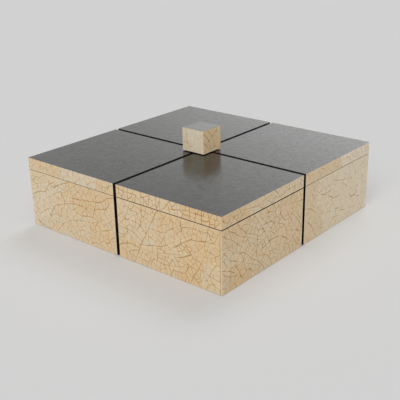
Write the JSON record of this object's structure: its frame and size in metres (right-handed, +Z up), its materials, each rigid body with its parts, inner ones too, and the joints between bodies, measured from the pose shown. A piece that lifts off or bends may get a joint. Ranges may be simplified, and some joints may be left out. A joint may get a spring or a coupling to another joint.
{
  "type": "amenity box",
  "caption": "Square box with a lift-off lid and a cube knob, faced with cracked eggshell, topped with dark lacquered panels and divided inside.",
  "frame": {"origin": "centre of the underside of the felt, where the box stands", "axes": "+Z up; the front is -Y and the right side +X, which are the two sides that the picture shows"},
  "size_m": [0.22, 0.22, 0.0863],
  "materials": {
    "eggshell": "satin",
    "dark_lacquer": "satin",
    "black_lacquer": "satin",
    "bare_wood": "matte",
    "felt": "matte",
    "steel": "satin",
    "brass": "satin"
  },
  "bodies": {
    "base": {"felt_sheet": "felt", "floor_panel": "black_lacquer", "corner_tongues": "bare_wood", "wall_front": "black_lacquer", "wall_right": "black_lacquer", "wall_back": "black_lacquer", "wall_left": "black_lacquer", "liner_front": "black_lacquer", "liner_right": "black_lacquer", "liner_back": "black_lacquer", "liner_left": "black_lacquer", "divider_lengthwise": "black_lacquer", "divider_crosswise": "black_lacquer", "base_shell_front_left": "eggshell", "base_shell_front_right": "eggshell", "base_shell_right_left": "eggshell", "base_shell_right_right": "eggshell", "base_shell_back_left": "eggshell", "base_shell_back_right": "eggshell", "base_shell_left_left": "eggshell", "base_shell_left_right": "eggshell"},
    "lid": {"lid_board": "black_lacquer", "lid_rim_front": "black_lacquer", "lid_rim_right": "black_lacquer", "lid_rim_back": "black_lacquer", "lid_rim_left": "black_lacquer", "lacquer_panel_front_right": "dark_lacquer", "lacquer_panel_back_right": "dark_lacquer", "lacquer_panel_back_left": "dark_lacquer", "lacquer_panel_front_left": "dark_lacquer", "lid_shell_front_left": "eggshell", "lid_shell_front_right": "eggshell", "lid_shell_right_left": "eggshell", "lid_shell_right_right": "eggshell", "lid_shell_back_left": "eggshell", "lid_shell_back_right": "eggshell", "lid_shell_left_left": "eggshell", "lid_shell_left_right": "eggshell", "knob_spacer": "black_lacquer", "knob_core": "bare_wood", "knob_cap": "dark_lacquer", "knob_insert": "brass", "knob_washer": "steel", "knob_screw": "steel", "knob_shell_front": "eggshell", "knob_shell_right": "eggshell", "knob_shell_back": "eggshell", "knob_shell_left": "eggshell"}
  },
  "joints": [
    {"name": "lid_lift", "type": "slide", "parent": "base", "child": "lid", "axis": [0, 0, 1], "range_m": [0, 0.1]}
  ]
}
